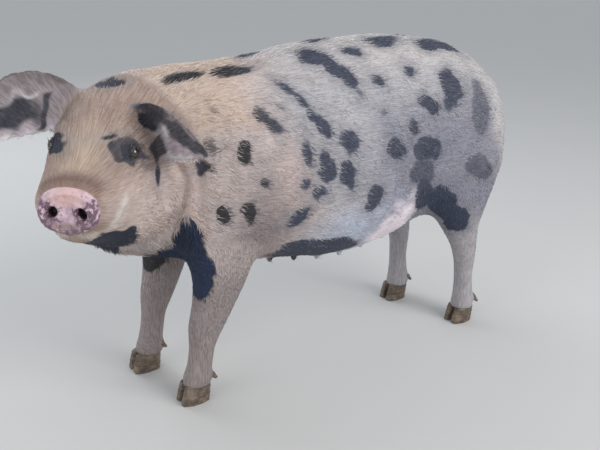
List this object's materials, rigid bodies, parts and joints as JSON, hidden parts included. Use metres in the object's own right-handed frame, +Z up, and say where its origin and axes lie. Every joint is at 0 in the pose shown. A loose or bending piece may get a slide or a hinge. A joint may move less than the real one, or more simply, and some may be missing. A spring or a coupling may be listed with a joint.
{
  "type": "pig",
  "caption": "Life-size model of a standing spotted farm pig with large ears held out, cloven hooves and its head turned to its left.",
  "frame": {"origin": "on the floor, under the middle of the pig's bounding box", "axes": "+Z up; the trunk lies along Y with the pig facing -Y, and its left side is +X; the head turns about 50 degrees towards +X"},
  "size_m": [0.466, 1.3978, 0.7903],
  "materials": {
    "hide": "short coarse coat in tan and grey with dark spots, not glossy",
    "ear_hide": "dark haired outside, thinly haired inside",
    "nose_skin": "bare pink skin with mauve mottling, slightly moist",
    "hoof_horn": "dull horn",
    "eyeball": "wet dark brown, glossy"
  },
  "bodies": {
    "root": {"dewclaw_fore_left_inner": "hoof_horn", "dewclaw_fore_left_outer": "hoof_horn", "dewclaw_fore_right_inner": "hoof_horn", "dewclaw_fore_right_outer": "hoof_horn", "dewclaw_hind_left_inner": "hoof_horn", "dewclaw_hind_left_outer": "hoof_horn", "dewclaw_hind_right_inner": "hoof_horn", "dewclaw_hind_right_outer": "hoof_horn", "ear_left": "ear_hide", "ear_right": "ear_hide", "eye_left": "eyeball", "eye_right": "eyeball", "head": "hide", "hoof_fore_left_inner": "hoof_horn", "hoof_fore_left_outer": "hoof_horn", "hoof_fore_right_inner": "hoof_horn", "hoof_fore_right_outer": "hoof_horn", "hoof_hind_left_inner": "hoof_horn", "hoof_hind_left_outer": "hoof_horn", "hoof_hind_right_inner": "hoof_horn", "hoof_hind_right_outer": "hoof_horn", "leg_fore_left": "hide", "leg_fore_right": "hide", "leg_hind_left": "hide", "leg_hind_right": "hide", "neck": "hide", "nose": "nose_skin", "tail": "hide", "trunk": "hide"}
  },
  "joints": []
}
